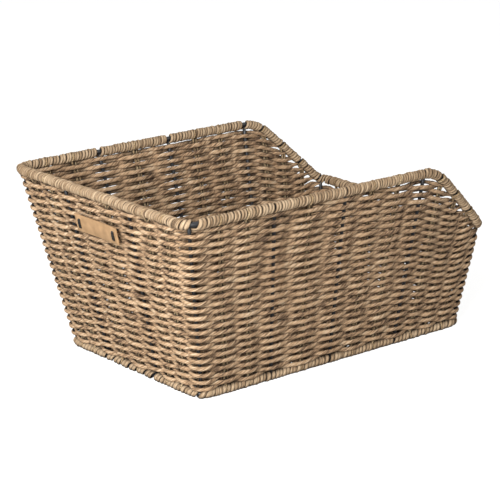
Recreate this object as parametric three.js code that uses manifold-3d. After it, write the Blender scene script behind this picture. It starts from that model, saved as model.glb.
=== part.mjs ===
// Rear bicycle basket: seagrass cord woven on a welded steel wire frame.
// Millimetres, +Z up. +X points to the low end, where the rim dips to clear the saddle.
// The origin lies on the ground under the middle of the rim.
import * as THREE from "three";
import { mergeVertices } from "three/addons/utils/BufferGeometryUtils.js";
import Module from "manifold-3d";

const wasm = await Module();
wasm.setup();

// Outline, on the centre lines of the rim wire and the base wire
const RIM_LENGTH = 448;
const RIM_WIDTH = 314;
const RIM_HEIGHT = 204; // above the base wire
const RIM_CORNER_RADIUS = 19;
const BASE_LENGTH = 388;
const BASE_WIDTH = 237;
const BASE_CORNER_RADIUS = 14;
const BASE_SHIFT = 16; // the base sits this far towards the low end

// Dip of the rim at the low end
const DIP_DEPTH = 83;
const DIP_LENGTH = 100; // along the basket, from level rim to the low corner
const DIP_TOP_BEND = 20; // half length of the bend at the top of the slope
const DIP_LOW_BEND = 6; // and of the one at the low corner

// Steel wire frame
const RIM_WIRE = 6;
const BASE_WIRE = 5;
const UPRIGHT_WIRE = 4;
const FLOOR_WIRE = 4;
const FLOOR_WIRES = 5;
const WELD_BITE = 0.8; // how deep a floor wire sinks into the base wire

// Where the uprights stand along a long side, from the label end, and along an end, corners included
const LONG_SIDE_UPRIGHTS = [0, 0.247, 0.472, 0.734, 1];
const END_UPRIGHTS = [0, 0.3, 0.68, 1];
// How many seagrass stakes stand between one upright and the next
const LONG_SIDE_STAKES = [2, 1, 2, 3];
const END_STAKES = [2, 2, 2];

// Seagrass
const STAKE_WIDTH = 8;
const STAKE_THICKNESS = 3.5;
const CORD_THICKNESS = 5; // across the wall
const CORD_HEIGHT = 6.8; // along the wall
const CORD_GAP = 0.7; // least gap from one row of cord to the next
const ROW_DROOP = 0.12; // share by which the rows close up towards the low end
const RIM_GAP = 1; // daylight between the top row and the rim wrapping
const FOOT_GAP = 5.3; // daylight between the first row and the base wrapping
const RIM_WRAP_THICKNESS = 2.8;
const BASE_WRAP_THICKNESS = 2.5;
const WRAP_RIB_DEPTH = 0.8;
const WRAP_RIB_PITCH = 32;
const FOOT_FLAT = 0.5; // depth of the flat that the base wrapping stands on

// Label patch on the high end
const LABEL_LENGTH = 76;
const LABEL_HEIGHT = 20;
const LABEL_THICKNESS = 1.8;
const LABEL_CORNER = 1.5;
const LABEL_PLACE = 0.506; // share of the end's width, from the far corner
const LABEL_LEVEL = 0.832; // share of the wall's height
const STITCH_LENGTH = 11;
const STITCH_WIRE = 1.6;
const STITCH_INSET = 7; // from the end of the patch

const FIT = 0.3; // clearance between pieces that touch

// Section facets
const WIRE_SIDES = 6;
const WRAP_SIDES = 6;
const CORD_SIDES = 5;
const STAKE_SIDES = 6;
const CORNER_STEPS = 3; // per half corner
const RIM_STEPS = 12; // along the straight of a long side, where the rim dips

const SEAGRASS = { color: 0xb8955f, roughness: 0.85, metalness: 0 };
const DARK_SEAGRASS = { color: 0xa07f52, roughness: 0.85, metalness: 0 };
const BLACK_STEEL = { color: 0x17181a, roughness: 0.45, metalness: 0.6 };
const TAN_LEATHER = { color: 0xb48a5c, roughness: 0.6, metalness: 0 };
const BLACK_THREAD = { color: 0x141414, roughness: 0.9, metalness: 0 };

const RIM_WRAP_RADIUS = RIM_WIRE / 2 + FIT + RIM_WRAP_THICKNESS;
const BASE_WRAP_RADIUS = BASE_WIRE / 2 + FIT + BASE_WRAP_THICKNESS;
const BASE_LEVEL = BASE_WRAP_RADIUS - FOOT_FLAT;
const LOW_RIM_HEIGHT = RIM_HEIGHT - DIP_DEPTH;

const basket = new THREE.Group();

function addPiece(name, geometry, look) {
  const piece = new THREE.Mesh(geometry, new THREE.MeshStandardMaterial(look));
  piece.name = name;
  basket.add(piece);
}

// Solids

// Skins a row of rings of equal length. A closed row joins its last ring to its first.
function loft(rings, closed) {
  const sides = rings[0].length;
  const positions = rings.flat().flatMap((p) => [p.x, p.y, p.z]);
  const faces = [];
  const spans = closed ? rings.length : rings.length - 1;
  for (let i = 0; i < spans; i++) {
    const here = i * sides;
    const next = ((i + 1) % rings.length) * sides;
    for (let j = 0; j < sides; j++) {
      const k = (j + 1) % sides;
      faces.push(here + j, next + j, here + k, here + k, next + j, next + k);
    }
  }
  if (!closed) {
    const last = (rings.length - 1) * sides;
    for (let j = 1; j < sides - 1; j++) {
      faces.push(0, j, j + 1, last, last + j + 1, last + j);
    }
  }
  const geometry = new THREE.BufferGeometry();
  geometry.setAttribute("position", new THREE.Float32BufferAttribute(positions, 3));
  geometry.setIndex(faces);
  return geometry;
}

// An oval ring of points round a centre, in the plane of the two axes.
function oval(centre, axisA, axisB, halfA, halfB, sides) {
  return Array.from({ length: sides }, (_, j) => {
    const angle = (2 * Math.PI * (j + 0.5)) / sides;
    return centre
      .clone()
      .addScaledVector(axisA, halfA * Math.cos(angle))
      .addScaledVector(axisB, halfB * Math.sin(angle));
  });
}

// A straight rod of oval section, with its width along the given direction.
function rod(start, end, widthAxis, halfWidth, halfDepth, sides) {
  const run = end.clone().sub(start).normalize();
  const depthAxis = run.clone().cross(widthAxis).normalize();
  const rings = [start, end].map((p) => oval(p, depthAxis, widthAxis, halfDepth, halfWidth, sides));
  return loft(rings, false);
}

function solid(geometry) {
  const bare = geometry.index ? geometry.toNonIndexed() : geometry.clone();
  bare.deleteAttribute("normal");
  bare.deleteAttribute("uv");
  const merged = mergeVertices(bare);
  return new wasm.Manifold(
    new wasm.Mesh({
      numProp: 3,
      vertProperties: merged.attributes.position.array,
      triVerts: new Uint32Array(merged.index.array),
    }),
  );
}

function geometryOf(shape) {
  const { vertProperties, triVerts } = shape.getMesh();
  const geometry = new THREE.BufferGeometry();
  geometry.setAttribute("position", new THREE.BufferAttribute(vertProperties, 3));
  geometry.setIndex(new THREE.BufferAttribute(triVerts, 1));
  return geometry;
}

// The wall: a ruled surface between the base outline and a level outline at rim height.
// A place on it is q, which runs round the basket, and a share of the height from base wire to rim.
// q runs 0 to 1 along the near side from the label end, 1 to 2 along the low end,
// 2 to 3 back along the far side and 3 to 4 along the label end. Whole numbers are corner middles.

const lowBaseX = BASE_SHIFT + BASE_LENGTH / 2;
const lowTopX = lowBaseX + ((RIM_LENGTH / 2 - lowBaseX) * RIM_HEIGHT) / LOW_RIM_HEIGHT;
const baseOutline = {
  x0: BASE_SHIFT - BASE_LENGTH / 2,
  x1: lowBaseX,
  halfWidth: BASE_WIDTH / 2,
  radius: BASE_CORNER_RADIUS,
};
const topOutline = {
  x0: -RIM_LENGTH / 2,
  x1: lowTopX,
  halfWidth: RIM_WIDTH / 2,
  radius: RIM_CORNER_RADIUS,
};

// A point of a rounded rectangle. Each side runs from the middle of one corner to the middle of the next.
function outlinePoint({ x0, x1, halfWidth, radius }, q) {
  const turns = ((q % 4) + 4) % 4;
  const side = Math.floor(turns);
  const length = side % 2 ? 2 * halfWidth : x1 - x0;
  const halfArc = (Math.PI * radius) / 4;
  const path = 2 * halfArc + length - 2 * radius;
  const walked = (turns - side) * path;
  const fromEnd = Math.min(walked, path - walked);
  const angle = Math.max(0, Math.PI / 4 - fromEnd / radius);
  const nearEnd = fromEnd < halfArc ? radius * (1 - Math.sin(angle)) : radius + fromEnd - halfArc;
  const along = walked < path / 2 ? nearEnd : length - nearEnd;
  const inward = radius * (1 - Math.cos(angle));
  return [
    new THREE.Vector2(x0 + along, inward - halfWidth),
    new THREE.Vector2(x1 - inward, along - halfWidth),
    new THREE.Vector2(x1 - along, halfWidth - inward),
    new THREE.Vector2(x0 + inward, halfWidth - along),
  ][side];
}

function wallPoint(q, share) {
  const plan = outlinePoint(baseOutline, q).lerp(outlinePoint(topOutline, q), share);
  return new THREE.Vector3(plan.x, plan.y, BASE_LEVEL + share * RIM_HEIGHT);
}

// The wall's own directions at a place: along it, up it and out of it.
function wallFrame(q, share) {
  const step = 1e-4;
  const along = wallPoint(q + step, share).sub(wallPoint(q - step, share)).normalize();
  const up = wallPoint(q, 1).sub(wallPoint(q, 0)).normalize();
  const out = along.clone().cross(up).normalize();
  return { point: wallPoint(q, share), along, up, out };
}

// The share of the wall's height where the rim runs: level, then down the slope to the low end.
const dipEndX = outlinePoint(topOutline, 1).x;
const dipStartX = dipEndX - DIP_LENGTH;

function bentLine(distance, bend) {
  if (distance < -bend) return 0;
  if (distance > bend) return distance;
  return (distance + bend) ** 2 / (4 * bend);
}

function dipShare(q) {
  const x = outlinePoint(topOutline, q).x;
  return (bentLine(x - dipStartX, DIP_TOP_BEND) - bentLine(x - dipEndX, DIP_LOW_BEND)) / DIP_LENGTH;
}

function rimShare(q) {
  return 1 - (dipShare(q) * DIP_DEPTH) / RIM_HEIGHT;
}

function rimPoint(q) {
  return wallPoint(q, rimShare(q));
}

function rimDirection(q) {
  const step = 1e-3;
  return rimPoint(q + step).sub(rimPoint(q - step)).normalize();
}

// Height up the wall that a wrapping of the rim takes from a piece of this half width that ends under it.
function roomUnderRim(q, halfWidth) {
  const run = rimDirection(q);
  const level = Math.hypot(run.x, run.y);
  return (RIM_WRAP_RADIUS + FIT) / level + (halfWidth * Math.abs(run.z)) / level;
}

// Stakes and uprights in order round the basket

function spread(places, counts) {
  return places.slice(0, -1).flatMap((place, bay) => {
    const stakes = counts[bay];
    const step = (places[bay + 1] - place) / (stakes + 1);
    return Array.from({ length: stakes + 1 }, (_, i) => ({ f: place + i * step, upright: i === 0 }));
  });
}

const longSide = spread(LONG_SIDE_UPRIGHTS, LONG_SIDE_STAKES);
const endSide = spread(END_UPRIGHTS, END_STAKES);
const cornerUpright = { f: 0, upright: true };
const longSideBack = [
  cornerUpright,
  ...longSide
    .slice(1)
    .map(({ f, upright }) => ({ f: 1 - f, upright }))
    .reverse(),
];
const posts = [longSide, endSide, longSideBack, endSide].flatMap((side, i) =>
  side.map(({ f, upright }) => ({ q: i + f, upright })),
);
const uprights = posts.filter((post) => post.upright);

// Steel wire frame: rim, base, uprights and floor wires welded into one piece

// Share of a side that half a rounded corner takes.
function cornerShare(side) {
  const halfArc = (Math.PI * RIM_CORNER_RADIUS) / 4;
  const length = side % 2 ? RIM_WIDTH : topOutline.x1 - topOutline.x0;
  return halfArc / (2 * halfArc + length - 2 * RIM_CORNER_RADIUS);
}

// Places round the basket: close together round the corners, and this many steps along each straight.
function placesRound(longSteps, endSteps) {
  return [0, 1, 2, 3].flatMap((side) => {
    const corner = cornerShare(side);
    const steps = side % 2 ? endSteps : longSteps;
    const spaced = (count, start, run) => Array.from({ length: count }, (_, i) => side + start + (run * i) / count);
    return [
      ...spaced(CORNER_STEPS, 0, corner),
      ...spaced(steps, corner, 1 - 2 * corner),
      ...spaced(CORNER_STEPS, 1 - corner, corner),
    ];
  });
}

// A ring that follows the rim or the base. Its section is a list of points, out of the wall and up.
function rail(pointAt, places, sectionAt) {
  const step = 1e-3;
  const rings = places.map((q, i) => {
    const run = pointAt(q + step).sub(pointAt(q - step)).normalize();
    const out = run.clone().cross(new THREE.Vector3(0, 0, 1)).normalize();
    const up = out.clone().cross(run);
    return sectionAt(i).map(([o, u]) => pointAt(q).addScaledVector(out, o).addScaledVector(up, u));
  });
  return solid(loft(rings, true));
}

function roundSection(radius, sides) {
  return Array.from({ length: sides }, (_, j) => {
    const angle = (2 * Math.PI * (j + 0.5)) / sides;
    return [radius * Math.cos(angle), radius * Math.sin(angle)];
  });
}

const basePoint = (q) => wallPoint(q, 0);
const basePlaces = placesRound(1, 1);
const rimPlaces = placesRound(RIM_STEPS, 1);

function rimRail(radius) {
  return rail(rimPoint, rimPlaces, () => roundSection(radius, WIRE_SIDES));
}

function baseRail(radius) {
  return rail(basePoint, basePlaces, () => roundSection(radius, WIRE_SIDES));
}

function uprightRod({ q }, radius) {
  const { along } = wallFrame(q, 0);
  return solid(rod(basePoint(q), rimPoint(q), along, radius, radius, WIRE_SIDES));
}

// Floor wires cross the base from side to side, welded on top of the base wire.
const floorLevel = BASE_LEVEL + (BASE_WIRE + FLOOR_WIRE) / 2 - WELD_BITE;
const floorWireX = Array.from(
  { length: FLOOR_WIRES },
  (_, i) => baseOutline.x0 + (BASE_LENGTH * (i + 1)) / (FLOOR_WIRES + 1),
);

function floorRod(x, radius) {
  const start = new THREE.Vector3(x, -BASE_WIDTH / 2, floorLevel);
  const end = new THREE.Vector3(x, BASE_WIDTH / 2, floorLevel);
  return solid(rod(start, end, new THREE.Vector3(1, 0, 0), radius, radius, WIRE_SIDES));
}

function wireFrame() {
  return wasm.Manifold.union([
    rimRail(RIM_WIRE / 2),
    baseRail(BASE_WIRE / 2),
    ...uprights.map((post) => uprightRod(post, UPRIGHT_WIRE / 2)),
    ...floorWireX.map((x) => floorRod(x, FLOOR_WIRE / 2)),
  ]);
}

addPiece("wire_frame", geometryOf(wireFrame()), BLACK_STEEL);

// Wrappings: seagrass wound close round the rim and base wires, ribbed by its turns.
// Each is pierced where uprights and floor wires join the wire inside.

const ribbedPlaces = placesRound(
  2 * Math.round((RIM_LENGTH - 2 * RIM_CORNER_RADIUS) / WRAP_RIB_PITCH),
  2 * Math.round((RIM_WIDTH - 2 * RIM_CORNER_RADIUS) / WRAP_RIB_PITCH),
);
const ribDepth = (i) => (i % 2 ? WRAP_RIB_DEPTH : 0);

function rimWrapping() {
  const winding = rail(rimPoint, ribbedPlaces, (i) => roundSection(RIM_WRAP_RADIUS - ribDepth(i), WRAP_SIDES));
  const passing = uprights.map((post) => uprightRod(post, UPRIGHT_WIRE / 2 + FIT));
  return winding.subtract(wasm.Manifold.union([rimRail(RIM_WIRE / 2 + FIT), ...passing]));
}

// The base wrapping is pressed flat underneath, where it stands.
function footSection(radius) {
  const flatAngle = Math.acos(1 - FOOT_FLAT / BASE_WRAP_RADIUS);
  return Array.from({ length: WRAP_SIDES }, (_, j) => {
    const underneath = j === 0 || j === WRAP_SIDES - 1;
    const reach = underneath ? BASE_WRAP_RADIUS : radius;
    const angle = -Math.PI / 2 + flatAngle + (2 * (Math.PI - flatAngle) * j) / (WRAP_SIDES - 1);
    return [reach * Math.cos(angle), reach * Math.sin(angle)];
  });
}

function baseWrapping() {
  const winding = rail(basePoint, ribbedPlaces, (i) => footSection(BASE_WRAP_RADIUS - ribDepth(i)));
  const passing = [
    ...uprights.map((post) => uprightRod(post, UPRIGHT_WIRE / 2 + FIT)),
    ...floorWireX.map((x) => floorRod(x, FLOOR_WIRE / 2 + FIT)),
  ];
  return winding.subtract(wasm.Manifold.union([baseRail(BASE_WIRE / 2 + FIT), ...passing]));
}

addPiece("rim_wrapping", geometryOf(rimWrapping()), SEAGRASS);
addPiece("base_wrapping", geometryOf(baseWrapping()), SEAGRASS);

// Seagrass stakes stand between the wrappings of the base and the rim

function seagrassStake({ q }) {
  const { along, up } = wallFrame(q, 0);
  const foot = basePoint(q).addScaledVector(up, BASE_WRAP_RADIUS + FIT);
  const head = rimPoint(q).addScaledVector(up, -roomUnderRim(q, STAKE_WIDTH / 2) / up.z);
  return rod(foot, head, along, STAKE_WIDTH / 2, STAKE_THICKNESS / 2, STAKE_SIDES);
}

posts
  .filter((post) => !post.upright)
  .forEach((post, i) => {
    addPiece(`seagrass_stake_${String(i + 1).padStart(2, "0")}`, seagrassStake(post), DARK_SEAGRASS);
  });

// Rows of cord, each woven out of and into the wall past one post after another

// A cord bends at each post and at both ends of each rounded corner.
const bends = [
  ...posts.map((post) => post.q),
  ...[0, 1, 2, 3].flatMap((side) => [side + cornerShare(side), side + 1 - cornerShare(side)]),
].sort((a, b) => a - b);

// How far the middle of the cord stands out of the wall's middle as it passes each post.
const reaches = posts.map(() => (CORD_THICKNESS + UPRIGHT_WIRE) / 2 + FIT);

// Out of the wall, at any place of a cord that passes each post on the other side from the last.
function cordOffset(firstSide, q) {
  const turns = ((q % 4) + 4) % 4;
  const before = posts.findLastIndex((post) => post.q <= turns + 1e-9);
  const after = (before + 1) % posts.length;
  const span = (after ? posts[after].q : 4) - posts[before].q;
  const side = (i) => (i % 2 ? -firstSide : firstSide) * reaches[i];
  return THREE.MathUtils.lerp(side(before), side(after), (turns - posts[before].q) / span);
}

function cordPoint(firstSide, q, share) {
  const { point, out } = wallFrame(q, share);
  return point.addScaledVector(out, cordOffset(firstSide, q));
}

// The cord slants past a post on its way to the next bend, so it stands off by more than a touch.
function cordReach({ q, upright }, post) {
  const halfDepth = (upright ? UPRIGHT_WIRE : STAKE_THICKNESS) / 2;
  const halfWidth = (upright ? UPRIGHT_WIRE : STAKE_WIDTH) / 2;
  const place = bends.indexOf(q);
  const neighbours = [place - 1, place + 1].map((i) => bends[(i + bends.length) % bends.length]);
  let slant = 0;
  for (const share of [0, 1]) {
    const { along, out } = wallFrame(q, share);
    for (const firstSide of [-1, 1]) {
      const side = Math.sign(cordOffset(firstSide, q));
      for (const neighbour of neighbours) {
        const run = cordPoint(firstSide, neighbour, share).sub(cordPoint(firstSide, q, share));
        slant = Math.max(slant, (-side * run.dot(out)) / Math.abs(run.dot(along)));
      }
    }
  }
  return CORD_THICKNESS / 2 + FIT + Math.hypot(halfDepth, halfWidth * slant);
}

for (let pass = 0; pass < 4; pass++) {
  posts.forEach((post, i) => {
    reaches[i] = cordReach(post, i);
  });
}
const wallHalf = Math.max(...reaches) + CORD_THICKNESS / 2;
const firstRow = BASE_WRAP_RADIUS + FOOT_GAP + CORD_HEIGHT / 2;
const lastRow = RIM_HEIGHT - RIM_WRAP_RADIUS - RIM_GAP - CORD_HEIGHT / 2;
const rowCount = 1 + Math.floor(((lastRow - firstRow) * (1 - ROW_DROOP)) / (CORD_HEIGHT + CORD_GAP));
const rowPitch = (lastRow - firstRow) / (rowCount - 1);

function rowShare(row, q) {
  const rise = row * rowPitch;
  return (firstRow + rise * (1 - ROW_DROOP * dipShare(q))) / RIM_HEIGHT;
}

// Where a row that is too high to pass under the low rim stops at the slope of the near side.
function rowStop(row) {
  const clear = (q) => (rimShare(q) - rowShare(row, q)) * RIM_HEIGHT - roomUnderRim(q, 0) - CORD_HEIGHT / 2;
  const searchStep = 0.002;
  for (let q = 0.5; q <= 1.5; q += searchStep) {
    if (clear(q) < 0) return q - searchStep;
  }
  return null;
}

function cordRow(row) {
  const stop = rowStop(row);
  const firstSide = row % 2 ? 1 : -1;
  const fromStop = [3 - stop, ...bends.filter((q) => q > 3 - stop)];
  const toStop = [...bends.filter((q) => q < stop), stop];
  const places = stop === null ? bends : [...fromStop, ...toStop];
  const rings = places.map((q) => {
    const share = rowShare(row, q);
    const { out, up } = wallFrame(q, share);
    return oval(cordPoint(firstSide, q, share), out, up, CORD_THICKNESS / 2, CORD_HEIGHT / 2, CORD_SIDES);
  });
  return loft(rings, stop === null);
}

for (let row = 0; row < rowCount; row++) {
  addPiece(`weaver_row_${String(row + 1).padStart(2, "0")}`, cordRow(row), SEAGRASS);
}

// Floor: one cord laid to and fro along the basket, over and under the floor wires

function floorWeaver() {
  const inset = Math.max(wallHalf, BASE_WRAP_RADIUS) + FIT + CORD_HEIGHT / 2;
  const room = BASE_WIDTH - 2 * inset;
  const runs = 1 + Math.floor(room / (CORD_HEIGHT + CORD_GAP));
  const pitch = room / (runs - 1);
  const reach = CORD_THICKNESS / 2 + FIT + (FLOOR_WIRE / 2) * Math.hypot(1, CORD_THICKNESS / FLOOR_WIRE / 4);

  // A run's distance from the end of the base: the runs along the sides stop short of the rounded corners.
  const endInset = (y) => {
    const inner = Math.max(0, BASE_CORNER_RADIUS - (inset - CORD_HEIGHT / 2));
    const intoCorner = Math.max(0, BASE_CORNER_RADIUS - (BASE_WIDTH / 2 - Math.abs(y) - CORD_HEIGHT / 2));
    const reachX = Math.sqrt(Math.max(0, inner ** 2 - intoCorner ** 2));
    return Math.max(inset, BASE_CORNER_RADIUS - reachX + CORD_HEIGHT / 2);
  };
  const runY = Array.from({ length: runs }, (_, j) => j * pitch - room / 2);
  const turnX = (j, towardsLow) => {
    const ahead = Math.max(endInset(runY[j]), endInset(runY[Math.min(j + 1, runs - 1)]));
    return towardsLow ? baseOutline.x1 - ahead : baseOutline.x0 + ahead;
  };

  const up = new THREE.Vector3(0, 0, 1);
  const ring = (x, y, lift, across) => {
    const centre = new THREE.Vector3(x, y, floorLevel + lift);
    return oval(centre, up, across, CORD_THICKNESS / 2, CORD_HEIGHT / 2, CORD_SIDES);
  };
  const rings = runY.flatMap((y, j) => {
    const forward = j % 2 === 0;
    const square = new THREE.Vector3(0, forward ? 1 : -1, 0);
    const mitred = new THREE.Vector3(-1, forward ? 1 : -1, 0);
    const overUnder = floorWireX.map((x, wire) => ring(x, y, (wire + j) % 2 ? reach : -reach, square));
    return [
      ring(turnX(Math.max(j - 1, 0), !forward), y, 0, j === 0 ? square : mitred),
      ...(forward ? overUnder : overUnder.reverse()),
      ring(turnX(j, forward), y, 0, j === runs - 1 ? square : mitred),
    ];
  });
  return loft(rings, false);
}

addPiece("floor_weaver", floorWeaver(), DARK_SEAGRASS);

// Label patch, held on the outside of the label end by two stitches

// The patch lies on the cords where they pass the nearest posts of that end.
const label = wallFrame(3 + LABEL_PLACE, LABEL_LEVEL);
const awayFromLabel = (post) => Math.abs(post.q - 3 - LABEL_PLACE);
const underLabel = posts.toSorted((a, b) => awayFromLabel(a) - awayFromLabel(b)).slice(0, 3);
const cordFace = (CORD_THICKNESS / 2) * Math.cos(Math.PI / CORD_SIDES);
const labelStandoff = Math.max(...underLabel.map((post) => reaches[posts.indexOf(post)])) + cordFace + FIT;
const labelTurn = new THREE.Matrix4()
  .makeBasis(label.along, label.up, label.out)
  .setPosition(label.point.clone().addScaledVector(label.out, labelStandoff));

function roundedPlate(length, height, corner) {
  const [x, y] = [length / 2, height / 2];
  const plate = new THREE.Shape();
  plate.absarc(x - corner, y - corner, corner, 0, Math.PI / 2);
  plate.absarc(corner - x, y - corner, corner, Math.PI / 2, Math.PI);
  plate.absarc(corner - x, corner - y, corner, Math.PI, 1.5 * Math.PI);
  plate.absarc(x - corner, corner - y, corner, 1.5 * Math.PI, 2 * Math.PI);
  return plate;
}

const stitchX = [STITCH_INSET - LABEL_LENGTH / 2, LABEL_LENGTH / 2 - STITCH_INSET];
const stitchY = [-1, 1].map((end) => (end * (STITCH_LENGTH - STITCH_WIRE)) / 2);

function labelPatch() {
  const plate = new THREE.ExtrudeGeometry(roundedPlate(LABEL_LENGTH, LABEL_HEIGHT, LABEL_CORNER), {
    depth: LABEL_THICKNESS,
    bevelEnabled: false,
    curveSegments: 3,
  });
  const hole = STITCH_WIRE + 2 * FIT;
  const holes = stitchX.flatMap((x) =>
    stitchY.map((y) => solid(new THREE.BoxGeometry(hole, hole, 4 * LABEL_THICKNESS).translate(x, y, 0))),
  );
  return geometryOf(solid(plate).subtract(wasm.Manifold.union(holes))).applyMatrix4(labelTurn);
}

// A stitch is a bar across the patch with a leg through it at each end.
function labelStitch(x) {
  const top = LABEL_THICKNESS + FIT;
  const [half, wire] = [STITCH_LENGTH / 2, STITCH_WIRE];
  const side = new THREE.Shape(
    [
      [-half, 0],
      [wire - half, 0],
      [wire - half, top],
      [half - wire, top],
      [half - wire, 0],
      [half, 0],
      [half, top + wire],
      [-half, top + wire],
    ].map(([y, z]) => new THREE.Vector2(y, z)),
  );
  const stitch = new THREE.ExtrudeGeometry(side, { depth: wire, bevelEnabled: false });
  stitch.applyMatrix4(
    new THREE.Matrix4()
      .makeBasis(new THREE.Vector3(0, 1, 0), new THREE.Vector3(0, 0, 1), new THREE.Vector3(1, 0, 0))
      .setPosition(x - wire / 2, 0, 0),
  );
  return stitch.applyMatrix4(labelTurn);
}

addPiece("label_patch", labelPatch(), TAN_LEATHER);
["far", "near"].forEach((name, i) => addPiece(`label_stitch_${name}`, labelStitch(stitchX[i]), BLACK_THREAD));

export default basket;
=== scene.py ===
# %% [markdown]
# # A seagrass bicycle basket
# The basket is a welded frame of black steel wire. Seagrass cord is woven through it in 22 rows of
# two cords each, the rim and the foot are bound with the same grass, and a leather patch is
# stitched to one end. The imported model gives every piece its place. This lesson makes each piece
# again in Blender, as it looks close up, and lets it take over from the plain solid.

# %% Load the frame
import itertools
import math

import bmesh
import bpy
import numpy as np
from mathutils import Matrix, Vector, noise


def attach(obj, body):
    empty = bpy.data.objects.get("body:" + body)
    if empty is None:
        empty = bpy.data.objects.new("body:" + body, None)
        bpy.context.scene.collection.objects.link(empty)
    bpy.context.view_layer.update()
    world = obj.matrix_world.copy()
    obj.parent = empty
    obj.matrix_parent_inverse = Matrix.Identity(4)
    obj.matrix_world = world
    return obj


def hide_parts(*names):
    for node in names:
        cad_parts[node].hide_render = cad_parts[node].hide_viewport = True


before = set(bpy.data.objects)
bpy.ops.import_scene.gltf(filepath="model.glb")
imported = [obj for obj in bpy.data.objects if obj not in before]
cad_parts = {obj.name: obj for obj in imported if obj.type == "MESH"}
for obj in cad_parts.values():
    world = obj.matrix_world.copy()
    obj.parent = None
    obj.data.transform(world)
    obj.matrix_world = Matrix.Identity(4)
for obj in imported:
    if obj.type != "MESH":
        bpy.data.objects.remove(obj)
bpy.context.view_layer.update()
MM = 0.001

# %% [markdown]
# The photograph looks at the label end and one long side from a little above. A long lens from far
# away keeps the upright lines nearly parallel, so the camera stands 2.3 m off with a 143 mm lens.

# %% Camera
AZIMUTH, ELEVATION = math.radians(-40.09), math.radians(16.55)
back = Vector((math.sin(AZIMUTH) * math.cos(ELEVATION), -math.cos(AZIMUTH) * math.cos(ELEVATION),
               math.sin(ELEVATION)))
right = Vector((math.cos(AZIMUTH), math.sin(AZIMUTH), 0))
middle = Vector((0, 0, 111.9 * MM))
aim = middle - right * 8.5 * MM - back.cross(right) * 6.2 * MM

camera = bpy.data.objects.new("photo_camera", bpy.data.cameras.new("photo_camera"))
camera.data.lens = 142.85
camera.data.sensor_width = 36
camera.location = middle + back * 2.281
camera.rotation_euler = (camera.location - aim).to_track_quat("Z", "Y").to_euler()
bpy.context.collection.objects.link(camera)
bpy.context.scene.camera = camera
print("camera:", [round(v, 3) for v in camera.location])

# %% [markdown]
# A finish is a small graph of nodes. Two helpers keep the graphs short. One turns an sRGB hex
# colour into the linear numbers that Blender's sockets take. The other adds a node, sets its
# properties, and fills its sockets with a value or with a link from another node.


# %% Helpers for finishes
def linear(hex_colour):
    parts = [int(hex_colour[i:i + 2], 16) / 255 for i in (1, 3, 5)]
    return [p / 12.92 if p <= 0.04045 else ((p + 0.055) / 1.055) ** 2.4 for p in parts] + [1.0]


def add_node(tree, kind, inputs=None, **settings):
    node = tree.nodes.new(kind)
    for name, value in settings.items():
        setattr(node, name, value)
    for name, value in (inputs or {}).items():
        if isinstance(value, bpy.types.NodeSocket):
            tree.links.new(value, node.inputs[name])
        else:
            node.inputs[name].default_value = value
    return node


def new_finish(name):
    finish = bpy.data.materials.new(name)
    finish.use_nodes = True
    return finish, finish.node_tree, finish.node_tree.nodes["Principled BSDF"]


print("colour helper: #CDB08C is", [round(v, 3) for v in linear("#CDB08C")[:3]])

# %% [markdown]
# The basket stands in plain soft studio light on a white floor. The photograph's key light comes
# from the left, so the label end is the brightest wall. The floor takes the shadow, and its glow
# shows to the camera alone. The world is full white to the camera and in reflections, and dim for
# all other light, so the lamps shape the basket.

# %% Floor, world and lamps
bpy.context.scene.view_settings.view_transform = "Standard"

white_floor, tree, shader = new_finish("matt_white_floor")
shader.inputs["Base Color"].default_value = linear("#B2B2B0")
shader.inputs["Roughness"].default_value = 0.9
path = add_node(tree, "ShaderNodeLightPath")
shader.inputs["Emission Color"].default_value = linear("#FFFFFF")
glow = add_node(tree, "ShaderNodeMath", {0: path.outputs["Is Camera Ray"], 1: 0.85}, operation="MULTIPLY")
tree.links.new(glow.outputs[0], shader.inputs["Emission Strength"])
floor_mesh = bpy.data.meshes.new("studio_floor")
bm = bmesh.new()
bmesh.ops.create_grid(bm, x_segments=1, y_segments=1, size=6)
bm.to_mesh(floor_mesh)
bm.free()
floor_mesh.materials.append(white_floor)
studio_floor = bpy.data.objects.new("studio_floor", floor_mesh)
bpy.context.collection.objects.link(studio_floor)

world = bpy.data.worlds.new("white_studio")
world.use_nodes = True
bpy.context.scene.world = world
tree = world.node_tree
room = add_node(tree, "ShaderNodeBackground", {"Color": linear("#FFFFFF"), "Strength": 0.15})
backdrop = add_node(tree, "ShaderNodeBackground", {"Color": linear("#FFFFFF"), "Strength": 1.0})
path = add_node(tree, "ShaderNodeLightPath")
seen = add_node(tree, "ShaderNodeMath", {0: path.outputs["Is Camera Ray"],
                                         1: path.outputs["Is Glossy Ray"]}, operation="MAXIMUM")
mixed = add_node(tree, "ShaderNodeMixShader", {0: seen.outputs[0], 1: room.outputs[0],
                                               2: backdrop.outputs[0]})
tree.links.new(mixed.outputs[0], tree.nodes["World Output"].inputs["Surface"])


def soft_box(name, place, size, power):
    lamp = bpy.data.objects.new(name, bpy.data.lights.new(name, "AREA"))
    lamp.data.size = size
    lamp.data.energy = power
    lamp.location = place
    lamp.rotation_euler = (Vector(place) - middle).to_track_quat("Z", "Y").to_euler()
    bpy.context.collection.objects.link(lamp)


soft_box("key_left", (-1.5, -0.85, 0.9), 1.0, 58)
soft_box("fill_front", (0.8, -1.5, 1.5), 1.2, 8)
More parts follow.
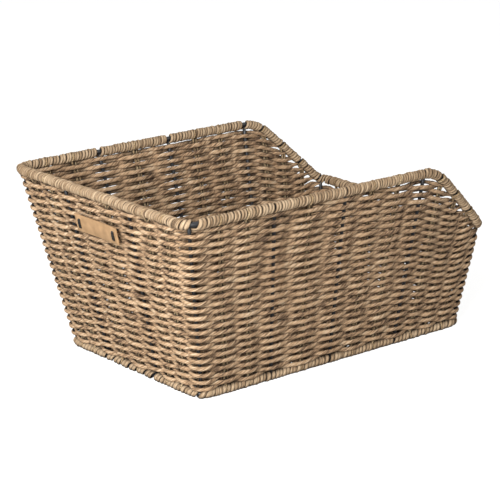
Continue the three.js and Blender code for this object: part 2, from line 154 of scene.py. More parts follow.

# %% [markdown]
# Seagrass is a dried reed twisted into cord: matt, straw coloured with brown and grey stretches,
# and streaked along its fibres. Every cord keeps an attribute with each vertex's place on the
# straightened cord, so the streaks follow the twist wherever the cord goes. Real fibres are about
# 0.3 mm wide, too fine to show here, so the streaks are drawn 0.9 mm wide. A second attribute gives
# every strand its own tone. An ambient occlusion node paints shade deep between the cords: it
# darkens each place that has a neighbour within 6 mm.

# %% Seagrass finish
FIBRE_WIDTH, BLOTCH_SIZE, CREVICE_REACH = 0.9 * MM, 22 * MM, 6 * MM


def seagrass(name, dark, middle_tone, light, depth):
    finish, tree, shader = new_finish(name)
    place = add_node(tree, "ShaderNodeAttribute", attribute_name="straight")
    tone = add_node(tree, "ShaderNodeAttribute", attribute_name="tone")
    stretch = add_node(tree, "ShaderNodeMapping", {"Vector": place.outputs["Vector"],
                                                   "Scale": (1, 1, 0.09)})
    fibre = add_node(tree, "ShaderNodeTexNoise", {"Vector": stretch.outputs[0], "Scale": 1 / FIBRE_WIDTH,
                                                  "Detail": 4.0, "Roughness": 0.7})
    blotch = add_node(tree, "ShaderNodeTexNoise", {"Vector": place.outputs["Vector"],
                                                   "Scale": 1 / BLOTCH_SIZE, "Detail": 2.0})
    streak = add_node(tree, "ShaderNodeMath", {0: fibre.outputs["Fac"], 1: 3.1, 2: -1.46},
                      operation="MULTIPLY_ADD")
    patch = add_node(tree, "ShaderNodeMath", {0: blotch.outputs["Fac"], 1: 0.5, 2: -0.25},
                     operation="MULTIPLY_ADD")
    both = add_node(tree, "ShaderNodeMath", {0: streak.outputs[0], 1: patch.outputs[0]}, operation="ADD")
    shade = add_node(tree, "ShaderNodeMath", {0: both.outputs[0], 1: tone.outputs["Fac"]}, operation="ADD")
    ramp = add_node(tree, "ShaderNodeValToRGB", {"Fac": shade.outputs[0]})
    ramp.color_ramp.elements.new(0.5)
    for stop, colour in zip(ramp.color_ramp.elements, (dark, middle_tone, light)):
        stop.color = linear(colour)
    bump = add_node(tree, "ShaderNodeBump", {"Height": fibre.outputs["Fac"], "Distance": depth,
                                             "Strength": 1.0})
    # Painted shade: the ambient occlusion darkens the base colour deep between the cords.
    crevice = add_node(tree, "ShaderNodeAmbientOcclusion", {"Distance": CREVICE_REACH}, samples=8)
    open_share = add_node(tree, "ShaderNodeMath", {0: crevice.outputs["AO"], 1: 1.4}, operation="POWER")
    crevice_shaded = add_node(tree, "ShaderNodeVectorMath", {0: ramp.outputs["Color"],
                                                    "Scale": open_share.outputs[0]}, operation="SCALE")
    tree.links.new(crevice_shaded.outputs[0], shader.inputs["Base Color"])
    tree.links.new(bump.outputs[0], shader.inputs["Normal"])
    shader.inputs["Roughness"].default_value = 0.85
    shader.inputs["IOR"].default_value = 1.45
    return finish


cord_grass = seagrass("twisted_seagrass_cord", "#4B3728", "#BA9773", "#DAC1A1", 0.9 * MM)
stake_grass = seagrass("fine_seagrass_stake_cord", "#5A4430", "#B2936B", "#DCC39C", 0.5 * MM)
wrap_grass = seagrass("flat_seagrass_binding", "#453325", "#957A5C", "#C2A98A", 0.5 * MM)
print("seagrass finishes:", cord_grass.name, stake_grass.name, wrap_grass.name)

# %% [markdown]
# The steel wire is powder coated: a satin black skin with a faint orange peel of about 0.6 mm.
# The patch is vegetable-tanned leather, warm tan in soft clouds, with a pebbled grain near 1.5 mm.
# The stitches are black waxed thread, with fine yarn lines along it.

# %% Steel, leather and thread finishes
powder_black, tree, shader = new_finish("black_powder_coated_steel")
place = add_node(tree, "ShaderNodeTexCoord")
peel = add_node(tree, "ShaderNodeTexNoise", {"Vector": place.outputs["Object"], "Scale": 1 / (0.6 * MM)})
bump = add_node(tree, "ShaderNodeBump", {"Height": peel.outputs["Fac"], "Distance": 0.05 * MM})
tree.links.new(bump.outputs[0], shader.inputs["Normal"])
shader.inputs["Base Color"].default_value = linear("#17181B")
shader.inputs["Roughness"].default_value = 0.42
shader.inputs["IOR"].default_value = 1.5

tan_leather, tree, shader = new_finish("vegetable_tanned_leather")
place = add_node(tree, "ShaderNodeTexCoord")
pebble = add_node(tree, "ShaderNodeTexVoronoi", {"Vector": place.outputs["Object"],
                                                 "Scale": 1 / (1.5 * MM)})
cloud = add_node(tree, "ShaderNodeTexNoise", {"Vector": place.outputs["Object"], "Scale": 1 / (12 * MM),
                                              "Detail": 4.0})
ramp = add_node(tree, "ShaderNodeValToRGB", {"Fac": cloud.outputs["Fac"]})
ramp.color_ramp.elements[0].position, ramp.color_ramp.elements[0].color = 0.3, linear("#957552")
ramp.color_ramp.elements[1].position, ramp.color_ramp.elements[1].color = 0.7, linear("#B6926B")
bump = add_node(tree, "ShaderNodeBump", {"Height": pebble.outputs["Distance"], "Distance": 0.12 * MM},
                invert=True)
tree.links.new(ramp.outputs["Color"], shader.inputs["Base Color"])
tree.links.new(bump.outputs[0], shader.inputs["Normal"])
shader.inputs["Roughness"].default_value = 0.55
shader.inputs["IOR"].default_value = 1.48

waxed_thread, tree, shader = new_finish("black_waxed_thread")
place = add_node(tree, "ShaderNodeAttribute", attribute_name="straight")
stretch = add_node(tree, "ShaderNodeMapping", {"Vector": place.outputs["Vector"], "Scale": (1, 1, 0.2)})
yarn = add_node(tree, "ShaderNodeTexNoise", {"Vector": stretch.outputs[0], "Scale": 1 / (0.4 * MM)})
bump = add_node(tree, "ShaderNodeBump", {"Height": yarn.outputs["Fac"], "Distance": 0.2 * MM})
tree.links.new(bump.outputs[0], shader.inputs["Normal"])
shader.inputs["Base Color"].default_value = linear("#0D0C0B")
shader.inputs["Roughness"].default_value = 0.5
print("finishes:", powder_black.name, tan_leather.name, waxed_thread.name)

# %% [markdown]
# Every piece of the basket hangs on one wall. The wall is the surface between two rounded
# rectangles, the foot below and the rim above, and a place on it is two numbers. q walks once
# round: 0 to 1 along the near side from the label end, 1 to 2 across the low end, 2 to 3 back
# along the far side and 3 to 4 across the label end. share climbs from the foot wire to the rim.
# Towards the low end the rim comes down in a straight slope with a soft bend at each end. Whole
# arrays of places go through at once, because the cords need many thousands of points.

# %% The basket's wall
RIM_HEIGHT, FOOT_LEVEL = 204 * MM, 4.8 * MM
DIP_DEPTH, DIP_LENGTH, DIP_TOP_BEND, DIP_LOW_BEND = 83 * MM, 100 * MM, 20 * MM, 6 * MM
FOOT = dict(x0=-178 * MM, x1=210 * MM, half_width=118.5 * MM, radius=14 * MM)
low_slant = (224 - 210) * MM * RIM_HEIGHT / (RIM_HEIGHT - DIP_DEPTH)
TOP = dict(x0=-224 * MM, x1=210 * MM + low_slant, half_width=157 * MM, radius=19 * MM)


def outline(q, x0, x1, half_width, radius):
    turns = np.mod(q, 4)
    side = np.minimum(np.floor(turns).astype(int), 3)
    length = np.where(side % 2 == 1, 2 * half_width, x1 - x0)
    half_arc = math.pi * radius / 4
    path = 2 * half_arc + length - 2 * radius
    walked = (turns - side) * path
    from_end = np.minimum(walked, path - walked)
    angle = np.maximum(0, math.pi / 4 - from_end / radius)
    near_end = np.where(from_end < half_arc, radius * (1 - np.sin(angle)), radius + from_end - half_arc)
    along = np.where(walked < path / 2, near_end, length - near_end)
    inward = radius * (1 - np.cos(angle))
    x = np.choose(side, [x0 + along, x1 - inward, x1 - along, x0 + inward])
    y = np.choose(side, [inward - half_width, along - half_width, half_width - inward, half_width - along])
    return np.stack([x, y], axis=-1)


def unit(v):
    return v / np.linalg.norm(v, axis=-1, keepdims=True)


def wall(q, share):
    q, share = np.broadcast_arrays(np.asarray(q, float), np.asarray(share, float))
    flat = outline(q, **FOOT) * (1 - share[..., None]) + outline(q, **TOP) * share[..., None]
    return np.concatenate([flat, (FOOT_LEVEL + share * RIM_HEIGHT)[..., None]], axis=-1)


def wall_axes(q, share):
    q = np.asarray(q, float)
    along = unit(wall(q + 1e-4, share) - wall(q - 1e-4, share))
    up = unit(wall(q, np.ones_like(q)) - wall(q, np.zeros_like(q)))
    out = unit(np.cross(along, up))
    return along, np.cross(out, along), out


def bent_line(distance, bend):
    eased = (distance + bend) ** 2 / (4 * bend)
    return np.where(distance < -bend, 0, np.where(distance > bend, distance, eased))


dip_end = outline(np.array([1.0]), **TOP)[0, 0]


def dip(q):
    past_end = outline(np.asarray(q, float), **TOP)[..., 0] - dip_end
    sloped = bent_line(past_end + DIP_LENGTH, DIP_TOP_BEND) - bent_line(past_end, DIP_LOW_BEND)
    return sloped / DIP_LENGTH


def rim_share(q):
    return 1 - dip(q) * DIP_DEPTH / RIM_HEIGHT


print("rim: high at", (wall(0.5, rim_share(0.5))[2] / MM).round(1), "mm, low at",
      (wall(1.5, rim_share(1.5))[2] / MM).round(1), "mm")

# %% [markdown]
# The posts are what the cord is woven round: 14 steel uprights, and 28 seagrass stakes spread
# between them. The lists give the uprights' places along a side and the stakes in each bay.

# %% Posts
LONG_SIDE = ([0, 0.247, 0.472, 0.734, 1], [2, 1, 2, 3])
END = ([0, 0.3, 0.68, 1], [2, 2, 2])


def side_posts(places, stakes):
    found = []
    for start, stop, count in zip(places, places[1:], stakes):
        found += [(start + (stop - start) * i / (count + 1), i == 0) for i in range(count + 1)]
    return found


back_side = [(0, True)] + [(1 - f, upright) for f, upright in reversed(side_posts(*LONG_SIDE)) if f > 0]
sides = [side_posts(*LONG_SIDE), side_posts(*END), back_side, side_posts(*END)]
posts = [(side + f, upright) for side, found in enumerate(sides) for f, upright in found]
post_q = np.array([q for q, upright in posts])
uprights = [q for q, upright in posts if upright]
stakes = [q for q, upright in posts if not upright]
print("posts:", len(uprights), "uprights and", len(stakes), "stakes")

# %% [markdown]
# A cord is a section swept along a path. Blender's curve does that: the bevel object is the
# section, each point's radius swells or thins the cord, and its tilt turns the section, which lays
# the plies round each other. One curve holds all cords of a piece and is turned into a mesh, ring
# by ring. The helper closes an open end with one more ring of no width. It can press a cord, which
# stretches its section along a given direction. It stores the straightened place and the tone for
# the finish, with painted shade in the grooves between the plies. wander is noise along a run, and
# its first number is the seed.


# %% Cords
def section_curve(name, sides, ridges):
    curve = bpy.data.curves.new(name, "CURVE")
    curve.dimensions = "2D"
    curve.fill_mode = "NONE"
    line = curve.splines.new("POLY")
    line.points.add(sides - 1)
    line.use_cyclic_u = True
    for i, point in enumerate(line.points):
        turn = 2 * math.pi * i / sides
        reach = 1 + sum(height * math.cos(count * turn + count) for count, height in ridges)
        point.co = (reach * math.cos(turn), reach * math.sin(turn), 0, 1)
    return bpy.data.objects.new(name, curve)


def smooth_path(points, step):
    p = np.asarray(points, float)
    p = np.vstack([2 * p[0] - p[1], p, 2 * p[-1] - p[-2]])
    found = []
    for a, b, c, d in zip(p, p[1:], p[2:], p[3:]):
        t = np.linspace(0, 1, max(1, round(np.linalg.norm(c - b) / step)), endpoint=False)[:, None]
        found.append(b + 0.5 * t * (c - a + t * (2 * a - 5 * b + 4 * c - d + t * (3 * (b - c) + d - a))))
    return np.vstack(found + [p[-2:-1]])


def wander(seed, run, size):
    return np.array([noise.noise(Vector((seed * 3.7, r / size, seed * 1.3))) for r in run])


def run_along(points):
    return np.concatenate([[0], np.cumsum(np.linalg.norm(np.diff(points, axis=0), axis=1))])


def store(mesh, straight, tone):
    mesh.attributes.new("straight", "FLOAT_VECTOR", "POINT").data.foreach_set("vector", straight.ravel())
    mesh.attributes.new("tone", "FLOAT", "POINT").data.foreach_set("value", tone)


def cord_piece(name, cords, section, finish, slot_name, *nodes):
    curve = bpy.data.curves.new(name, "CURVE")
    curve.dimensions = "3D"
    curve.twist_mode = "MINIMUM"
    curve.bevel_mode = "OBJECT"
    curve.bevel_object = section
    straight, tones, centres, presses = [], [], [], []
    ring = np.array([point.co[:2] for point in section.data.splines[0].points])
    reach = np.linalg.norm(ring, axis=1)
    # Painted shade: the tone is made darker in the grooves between the plies, where the section dips in.
    ply_groove_shade = 1.2 * (reach.max() - reach)
    for points, radius, lay, closed, tone, *press in cords:
        radius, tone = (np.broadcast_to(v, len(points)) for v in (radius, tone))
        press = press[0] if press else np.zeros_like(points)
        if not closed:
            ends = [0, *range(len(points)), len(points) - 1]
            points, radius, tone, press = points[ends], radius[ends], tone[ends], press[ends]
            points[1] += 0.02 * (points[2] - points[1])
            points[-2] += 0.02 * (points[-3] - points[-2])
            radius[[0, -1]] = 1e-6
        run = run_along(points)
        turns = run / lay
        if closed:
            whole = run[-1] + np.linalg.norm(points[0] - points[-1])
            turns = run * round(whole / lay) / whole
        line = curve.splines.new("POLY")
        line.points.add(len(points) - 1)
        line.use_cyclic_u = closed
        line.points.foreach_set("co", np.column_stack([points, np.ones(len(points))]).ravel())
        line.points.foreach_set("radius", radius)
        line.points.foreach_set("tilt", turns * 2 * math.pi)
        across = (radius[:, None, None] * ring).reshape(-1, 2)
        straight.append(np.column_stack([across, np.repeat(run, len(ring))]))
        tones.append((tone[:, None] - ply_groove_shade).ravel())
        centres.append(np.repeat(points, len(ring), axis=0))
        presses.append(np.repeat(press, len(ring), axis=0))
    holder = bpy.data.objects.new(name + "_path", curve)
    bpy.context.collection.objects.link(holder)
    mesh = bpy.data.meshes.new_from_object(holder.evaluated_get(bpy.context.evaluated_depsgraph_get()))
    bpy.data.objects.remove(holder)
    mesh.name = name
    place, press = np.empty(len(mesh.vertices) * 3), np.vstack(presses)
    mesh.vertices.foreach_get("co", place)
    reach = place.reshape(-1, 3) - np.vstack(centres)
    place += (press * np.sum(reach * press, axis=1, keepdims=True)).ravel()
    mesh.vertices.foreach_set("co", place)
    store(mesh, np.vstack(straight), np.concatenate(tones))
    finish_piece(name, mesh, finish, slot_name, *nodes)


def finish_piece(name, mesh, finish, slot_name, *nodes):
    bm = bmesh.new()
    bm.from_mesh(mesh)
    bmesh.ops.remove_doubles(bm, verts=[v for v in bm.verts if v.is_boundary], dist=0.01 * MM)
    bmesh.ops.recalc_face_normals(bm, faces=bm.faces)
    for face in bm.faces:
        face.smooth = True
    bm.to_mesh(mesh)
    bm.free()
    mesh.materials.clear()
    mesh.materials.append(finish)
    piece = bpy.data.objects.new(name, mesh)
    bpy.context.collection.objects.link(piece)
    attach(piece, "root")
    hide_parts(*nodes)


grass_cord = section_curve("grass_cord_section", 18, [(2, 0.05), (5, 0.05), (7, 0.04)])
fine_cord = section_curve("fine_cord_section", 8, [(2, 0.14)])
round_wire = section_curve("round_wire_section", 12, [])
print("sections:", grass_cord.name, fine_cord.name, round_wire.name)

# %% [markdown]
# The steel frame is one welded piece: a rim ring that dips at the low end, a foot ring, 14
# uprights between them and five wires across the floor. Round wire is the simplest cord of all.

# %% Wire frame
RIM_WIRE, FOOT_WIRE, UPRIGHT_WIRE = 3.0 * MM, 2.5 * MM, 2.0 * MM
FLOOR_LEVEL = 8.5 * MM
floor_wire_x = FOOT["x0"] + (FOOT["x1"] - FOOT["x0"]) * np.arange(1, 6) / 6
ring_q = np.linspace(0, 4, 640, endpoint=False)
wires = [(wall(ring_q, rim_share(ring_q)), RIM_WIRE, 1.0, True, 0.5),
         (wall(ring_q, 0), FOOT_WIRE, 1.0, True, 0.5)]
for q in uprights:
    wires.append((wall(q, np.linspace(0.004, rim_share(q), 16)), UPRIGHT_WIRE, 1.0, False, 0.5))
for x in floor_wire_x:
    y = np.linspace(-FOOT["half_width"], FOOT["half_width"], 12)
    across = np.column_stack([np.full(12, x), y, np.full(12, FLOOR_LEVEL)])
    wires.append((across, UPRIGHT_WIRE, 1.0, False, 0.5))
cord_piece("wire_frame_round", wires, round_wire, powder_black, "black_steel", "wire_frame")
print("wire frame:", len(wires), "wires")

# %% [markdown]
# The walls are woven in pairs of cords. One cord of a pair passes in front of every even post and
# behind every odd one. The other lies half a row higher and does the opposite. So a cord's depth is
# the cosine of an angle that gains half a turn from post to post. The cords are pressed tall and
# flat. At the posts, and most of all at the steel uprights, they are a little less tall, which
# leaves the dark slots of the real wall. Seeded noise moves each row a little up and down and
# changes the cords' thickness and tone, as in hand work.
#
# The lower 13 rows run all the way round, and the rows lie closer where the rim is low. The upper
# nine start under the sloping rim of the far side, pass the label end and stop under the slope of
# the near side. Both ends are less tall, so they slip under the binding. The pitch is averaged over
# a tenth of a side, so the rows bend softly.

# %% Rows
ROWS, CLOSED_ROWS, LOW_ROWS = 22, 13, 13.1
FIRST_ROW, RIM_ROOM, RIM_TUCK = 8.8 * MM, 10.5 * MM, 6.0 * MM
STRAND_DEPTH, STRAND_THICK, TALL_AT_POST, TALL_BETWEEN = 2.8 * MM, 1.6 * MM, 2.5 * MM, 2.75 * MM
STRAND_LAY, STEP, MEAN_SIDE = -26 * MM, 2.0 * MM, 385 * MM
FADE_OUT, UPRIGHT_REACH = 0.03, 0.035  # parts of a side
posts_q = np.concatenate([post_q - 4, post_q, post_q + 4])
posts_turn = np.arange(len(posts_q)) * math.pi
uprights_q = np.concatenate([np.array(uprights) + turn for turn in (-4, 0, 4)])
walk = np.linspace(0, 4, 4001)
walk_pitch = (rim_share(walk) * RIM_HEIGHT - RIM_ROOM - FIRST_ROW) / (
    ROWS - (ROWS - LOW_ROWS) * dip(walk) ** 1.6 - 1)
walk_pitch = sum(np.roll(walk_pitch, k) for k in range(-48, 49, 8)) / 13


def pitch_at(q):
    return np.interp(np.mod(q, 4), walk, walk_pitch)


def row_share(row, q):
    return (FIRST_ROW + row * pitch_at(q)) / RIM_HEIGHT


def row_end(row):
    slope = np.linspace(0.7, 1, 601)
    tucked = (rim_share(slope) - row_share(row, slope)) * RIM_HEIGHT < RIM_TUCK
    return slope[tucked][0] if tucked.any() else 1.0


def woven_strand(row, strand, q, fade):
    seed = row * 2 + strand + 1
    centre = wall(q, row_share(row, q))
    run = run_along(centre)
    up, out = wall_axes(q, row_share(row, q))[1:]
    turn = np.interp(q, posts_q, posts_turn) + strand * math.pi + 0.3 * wander(row + 50, run, 30 * MM)
    front = np.cos(turn)
    drift = [noise.noise(Vector((place * 1.9, row * 0.14, 5.0))) for place in np.mod(q, 4)]
    lift = 0.4 * MM * wander(row, run, 32 * MM) + min(2.0, 0.4 * row) * MM * np.array(drift)
    lift += (strand - 0.5) * pitch_at(q) / 2
    depth = STRAND_DEPTH * front + 0.3 * MM * wander(seed + 200, run, 40 * MM)
    thick = STRAND_THICK * (1 + 0.16 * wander(seed + 100, run, 18 * MM))
    tall = TALL_BETWEEN + (TALL_AT_POST - TALL_BETWEEN) * front ** 2
    from_upright = np.abs(q[:, None] - uprights_q).min(axis=1)
    pinch = 0.05 + 0.15 * wander(seed + 500, run, 40 * MM)
    tall *= 1 - pinch * np.exp(-(from_upright / UPRIGHT_REACH) ** 2)
    press = up * np.sqrt(np.maximum(fade * tall / STRAND_THICK, 1) - 1)[:, None]
    tone = 0.5 + 0.24 * wander(seed + 300, run, 40 * MM) + 0.06 * math.sin(row * 2.4)
    return centre + out * (fade * depth)[:, None] + up * (fade * lift)[:, None], thick, tone, press


for row in range(ROWS):
    closed = row < CLOSED_ROWS
    end = 2.0 if closed else row_end(row)
    start = -2.0 if closed else -1 - end
    q = np.linspace(start, end, round((end - start) * MEAN_SIDE / STEP), endpoint=not closed)
    fade = np.ones_like(q) if closed else np.clip(np.minimum(q - start, end - q) / FADE_OUT, 0.3, 1)
    cords = []
    for strand in (0, 1):
        points, thick, tone, press = woven_strand(row, strand, q, fade)
        cords.append((points, thick, STRAND_LAY, closed, tone, press))
    cord_piece(f"woven_row_{row + 1:02}", cords, grass_cord, cord_grass, "seagrass_cord",
               f"weaver_row_{row + 1:02}")
print("rows:", ROWS, "of which", ROWS - CLOSED_ROWS, "end under the sloping rim")

# %% [markdown]
# A stake is a fine cord that hangs over the rim and is drawn round the foot, so it climbs the wall
# as two runs side by side. It is one closed loop: up on the left, round the rim, down on the right
# and round the foot wire.

# %% Stakes
STAKE_CORD, STAKE_SPREAD, STAKE_LAY = 1.65 * MM, 1.8 * MM, 14 * MM


def rail_axes(q, share_at):
    q = np.asarray(q, float)
    along = unit(wall(q + 1e-4, share_at(q + 1e-4)) - wall(q - 1e-4, share_at(q - 1e-4)))
    out = wall_axes(q, share_at(q))[2]
    out = unit(out - along * np.sum(out * along, axis=-1, keepdims=True))
    return along, np.cross(out, along), out


def round_the_rim(q, reach, shift, degrees):
    along, up, out = rail_axes(q, rim_share)
    angle = np.radians(degrees)[:, None]
    slide = np.linspace(-shift, shift, len(degrees))[:, None]
    return wall(q, rim_share(q)) + reach * (np.cos(angle) * out + np.sin(angle) * up) + slide * along


def foot_share(q):
    return np.zeros_like(np.asarray(q, float))


def stake_path(q, seed):
    along = wall_axes(q, 0.5)[0]
    climb = np.linspace(0.06, rim_share(q) - 0.05, 24)
    side = STAKE_SPREAD + 0.3 * MM * wander(seed, climb, 0.2)[:, None]
    left = wall(q, climb) - along * side
    right = wall(q, climb) + along * side
    over = round_the_rim(q, RIM_WIRE + STAKE_CORD, 3.2 * MM, np.linspace(-70, 250, 13))
    foot_along, foot_up, foot_out = rail_axes(q, foot_share)
    angle = np.radians(np.linspace(110, 430, 11))[:, None]
    slide = np.linspace(STAKE_SPREAD, -STAKE_SPREAD, 11)[:, None]
    under = wall(q, 0) + (FOOT_WIRE + STAKE_CORD) * (np.cos(angle) * foot_out + np.sin(angle) * foot_up)
    under[:, 2] = np.maximum(under[:, 2], STAKE_CORD * 1.16)
    loop = np.vstack([left, over, right[::-1], under + slide * foot_along, left[:1]])
    return smooth_path(loop, 1.9 * MM)[:-1]


for i, q in enumerate(stakes):
    points = stake_path(q, i + 1)
    run = run_along(points)
    tone = 0.55 + 0.25 * wander(i + 400, run, 50 * MM) + 0.1 * math.sin(i * 1.7)
    cord_piece(f"stake_cord_{i + 1:02}", [(points, STAKE_CORD, STAKE_LAY, True, tone)], fine_cord,
               stake_grass, "seagrass_stake", f"seagrass_stake_{i + 1:02}")
print("stakes:", len(stakes))

# %% [markdown]
# The rim and the foot are bound: two flat strands of grass, side by side, go round and round the
# wire, turn against turn, and leave a gap where a stake loops round or an upright is welded on. At
# the near corner, at the far side's uprights and on the slopes the gaps are wide, so the black wire
# shows.
# The easiest spring is a straight one, so each stretch between two gaps is spun with a screw step
# along X. A straight spring can be bent: every vertex keeps its turn and its place in the section,
# and the turn says where it lands on the real rail.

# %% Bindings
SPRING_RADIUS, SPRING_PITCH, SPRING_STEPS = 10, 4, 18
BARE_GAP, CORNER_GAP, SLOPE_GAP, STAKE_GAP, CLOSED_GAP = 8.0 * MM, 9.0 * MM, 6.5 * MM, 3.2 * MM, 2.5 * MM


def straight_spring(turns):
    bm = bmesh.new()
    bmesh.ops.create_circle(bm, cap_ends=False, segments=8, radius=1)
    stand = Matrix(((0, 1, 0, 0), (0, 0, 1, 0), (1, 0, 0, SPRING_RADIUS), (0, 0, 0, 1)))
    bmesh.ops.transform(bm, matrix=stand, verts=bm.verts)
    bmesh.ops.spin(bm, geom=bm.verts[:] + bm.edges[:], axis=(1, 0, 0), cent=(0, 0, 0),
                   dvec=(SPRING_PITCH / SPRING_STEPS, 0, 0), angle=2 * math.pi * turns,
                   steps=SPRING_STEPS * turns)
    return bm


def bind_rail(name, share_at, ties, wire, width, thickness, lowest, seed, slot_name, node):
    dense = np.linspace(0, 4, 8001)
    run = run_along(wall(dense, share_at(dense)))
    ties = sorted((np.interp(q % 4, dense, run), gap) for q, gap in ties)
    ties.append((ties[0][0] + run[-1], ties[0][1]))
    turn_at, place_at, counts = [], [], []
    for (a, gap), (b, next_gap) in zip(ties, ties[1:]):
        count = max(1, round((b - a - gap / 2 - next_gap / 2) / (2 * width)))
        turn_at += [sum(counts) + 0.08, sum(counts) + count - 0.08]
        place_at += [a + gap / 2, b - next_gap / 2]
        counts.append(count)
    jump = place_at[0] + run[-1] - place_at[-1]
    turn_at = [0, *turn_at, sum(counts)]
    place_at = [place_at[0] - jump / 2, *place_at, place_at[-1] + jump / 2]
    joined = bmesh.new()
    for strand, i in itertools.product((0, 1), range(len(counts))):
        spring = straight_spring(counts[i])
        mesh = bpy.data.meshes.new(name)
        spring.to_mesh(mesh)
        spring.free()
        p = np.empty(len(mesh.vertices) * 3)
        mesh.vertices.foreach_get("co", p)
        x, y, z = p.reshape(-1, 3).T
        turn = np.arctan2(-y, z) / (2 * math.pi)
        turn += np.round(x / SPRING_PITCH - turn)
        high, wide = np.hypot(y, z) - SPRING_RADIUS, x - turn * SPRING_PITCH
        turn += sum(counts[:i])
        own = seed + 5 * strand
        bulk = 1 + 0.4 * wander(own + 30, turn, 0.6)
        spread = width * (0.54 + 0.08 * wander(own + 40, turn, 0.7))
        centre = np.interp(turn, turn_at, place_at) + (strand - 0.5) * width
        centre += 0.22 * width * wander(own, turn, 0.5)
        q = np.interp((centre + wide * spread) % run[-1], run, dense)
        reach = wire + 0.15 * MM + thickness * bulk * (high + 1) / 2
        up, out = rail_axes(q, share_at)[1:]
        angle = (math.radians(170) - 2 * math.pi * turn)[:, None]
        p = wall(q, share_at(q)) + reach[:, None] * (np.cos(angle) * up + np.sin(angle) * out)
        p[:, 2] = np.maximum(p[:, 2], lowest)
        mesh.vertices.foreach_set("co", p.ravel())
        lengthwise = turn * 2 * math.pi * (wire + thickness / 2) + strand
        straight = np.column_stack([wide * width / 2, high * thickness / 2, lengthwise])
        # The 0.12 * high term paints shade on the inner face of each turn, against the wire, and painted
        # light on its outer face.
        tone = 0.5 + 0.35 * wander(own + 60, turn, 1.3) + 0.2 * wander(own + 90, turn, 9.0) + 0.12 * high
        store(mesh, straight, tone)
        joined.from_mesh(mesh)
        bpy.data.meshes.remove(mesh)
    mesh = bpy.data.meshes.new(name)
    joined.to_mesh(mesh)
    joined.free()
    finish_piece(name, mesh, wrap_grass, slot_name, node)
    return sum(counts)


rim_ties = [(q, BARE_GAP if 2 < q < 2.9 else CLOSED_GAP) for q in uprights if q > 0]
rim_ties.append((0.015, CORNER_GAP))
for q in stakes:
    uphill = 0.003 if q > 2 else -0.003
    rim_ties.append((q + uphill, SLOPE_GAP) if 0.01 < dip(q) < 0.99 else (q, STAKE_GAP))
rim_turns = bind_rail("rim_binding", rim_share, rim_ties, RIM_WIRE, 3.9 * MM, 2.6 * MM, 0, 7,
                      "seagrass_wrap", "rim_wrapping")
foot_ties = [(q, 5.0 * MM) for q in uprights] + [(q, 3.0 * MM) for q in stakes]
foot_turns = bind_rail("foot_binding", foot_share, foot_ties, FOOT_WIRE, 5.4 * MM, 2.8 * MM, 0.1 * MM, 19,
                       "seagrass_wrap", "base_wrapping")
print("bindings:", rim_turns, "turns on the rim,", foot_turns, "on the foot")

# %% [markdown]
# The floor is woven as the walls are, flat: pairs of cords run the length of the basket, over and
# under the five floor wires, with three half turns from wire to wire. The second cord of a pair lies
# half a pitch beside the first.

# %% Floor
FLOOR_RUNS, FLOOR_PITCH, FLOOR_WIDE, FLOOR_DEPTH = 27, 8.4 * MM, 3.4 * MM, 2.7 * MM
cords = []
x = np.arange(FOOT["x0"] + 4 * MM, FOOT["x1"] - 4 * MM, 2.2 * MM)
for i in range(FLOOR_RUNS):
    y = (i - (FLOOR_RUNS - 1) / 2) * FLOOR_PITCH
    bay = (x - floor_wire_x[0]) / (floor_wire_x[1] - floor_wire_x[0])
    for strand in (0, 1):
        seed = 600 + 2 * i + strand
        turn = math.pi * (3 * bay + strand)
        front = np.cos(turn)
        beside = y + (strand - 0.5) * FLOOR_PITCH / 2 + 0.5 * MM * wander(600 + i, x, 40 * MM)
        points = np.column_stack([x, beside, FLOOR_LEVEL + FLOOR_DEPTH * front])
        radius = STRAND_THICK * (1 + 0.14 * wander(seed, x, 25 * MM))
        press = np.tile([0, math.sqrt(FLOOR_WIDE / STRAND_THICK - 1), 0], (len(x), 1))
        tone = 0.45 + 0.3 * wander(seed + 100, x, 60 * MM)
        cords.append((points, radius, STRAND_LAY, False, tone, press))
cord_piece("woven_floor", cords, fine_cord, cord_grass, "seagrass_cord", "floor_weaver")
print("floor:", FLOOR_RUNS, "runs")

# %% [markdown]
# The patch is a strip of leather cut with small round corners, bowed a little because it is held
# only by a stitch near each end, and more at its near end. A cube is scaled to the strip, its
# upright edges are rounded, cuts across its length let it bend, and a fine bevel takes the
# sharpness off the cut edge.

# %% Leather patch
PATCH_LENGTH, PATCH_HEIGHT, PATCH_THICK, PATCH_STANDOFF = 76 * MM, 20 * MM, 1.8 * MM, 8.1 * MM
patch_q, patch_share = 3.506, 0.832
along, up, out = wall_axes(patch_q, patch_share)
patch_place = Matrix.Identity(4)
for column, axis in enumerate((along, up, out, wall(patch_q, patch_share) + out * PATCH_STANDOFF)):
    for line in range(3):
        patch_place[line][column] = axis[line]

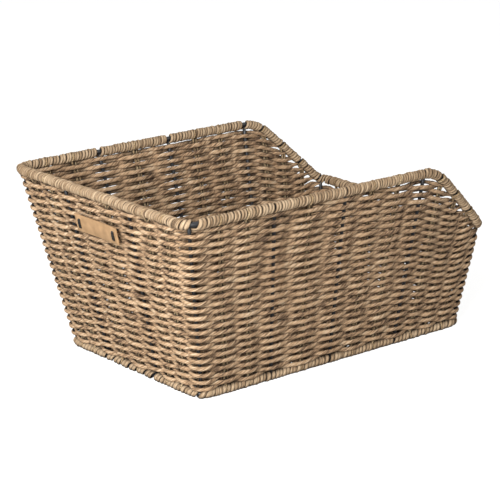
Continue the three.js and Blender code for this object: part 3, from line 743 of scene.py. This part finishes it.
bm = bmesh.new()
bmesh.ops.create_cube(bm, size=1)
bmesh.ops.scale(bm, vec=(PATCH_LENGTH, PATCH_HEIGHT, PATCH_THICK), verts=bm.verts)
corners = [e for e in bm.edges if abs(e.verts[0].co.z - e.verts[1].co.z) > PATCH_THICK / 2]
bmesh.ops.bevel(bm, geom=corners, offset=1.5 * MM, offset_type="OFFSET", affect="EDGES", segments=4,
                profile=0.5, material=-1)
for cut in np.linspace(-0.46, 0.46, 24) * PATCH_LENGTH:
    bmesh.ops.bisect_plane(bm, geom=bm.verts[:] + bm.edges[:] + bm.faces[:], plane_co=(cut, 0, 0),
                           plane_no=(1, 0, 0))
rim_edges = [e for e in bm.edges if e.calc_face_angle(0) > 1]
bmesh.ops.bevel(bm, geom=rim_edges, offset=0.4 * MM, offset_type="OFFSET", affect="EDGES", segments=2,
                profile=0.5, material=-1)


def patch_bow(x):
    return 1.4 * MM * (2 * x / PATCH_LENGTH) ** 2 * (1 if x > 0 else 0.3) + PATCH_THICK / 2


for v in bm.verts:
    v.co.z += patch_bow(v.co.x)
bmesh.ops.transform(bm, matrix=patch_place, verts=bm.verts)
mesh = bpy.data.meshes.new("leather_patch")
bm.to_mesh(mesh)
bm.free()
finish_piece("leather_patch", mesh, tan_leather, "tan_leather", "label_patch")
print("patch:", len(mesh.polygons), "faces")

# %% [markdown]
# Each stitch is two passes of waxed thread side by side, out of the leather, over it and in again,
# with the ends down among the cords behind it.

# %% Stitches
THREAD, STITCH_DEPTH = 0.95 * MM, -4 * MM
for name, x in (("far", -31 * MM), ("near", 31 * MM)):
    top = patch_bow(x) + PATCH_THICK / 2
    shape = [(-4.6, STITCH_DEPTH), (-5.1, 0.2 * MM), (-4.7, top + 0.5 * MM), (-2.5, top + 0.9 * MM),
             (0, top + 1.0 * MM), (2.5, top + 0.9 * MM), (4.7, top + 0.5 * MM), (5.1, 0.2 * MM),
             (4.6, STITCH_DEPTH)]
    passes = []
    for side in (-1.0, 1.0):
        local = smooth_path([(x + side * MM, y * MM, z) for y, z in shape], 0.6 * MM)
        points = np.array([patch_place @ Vector(p) for p in local])
        passes.append((points, THREAD, 6 * MM, False, 0.5))
    cord_piece(f"thread_stitch_{name}", passes, fine_cord, waxed_thread, "black_thread",
               f"label_stitch_{name}")
print("stitches: 2")
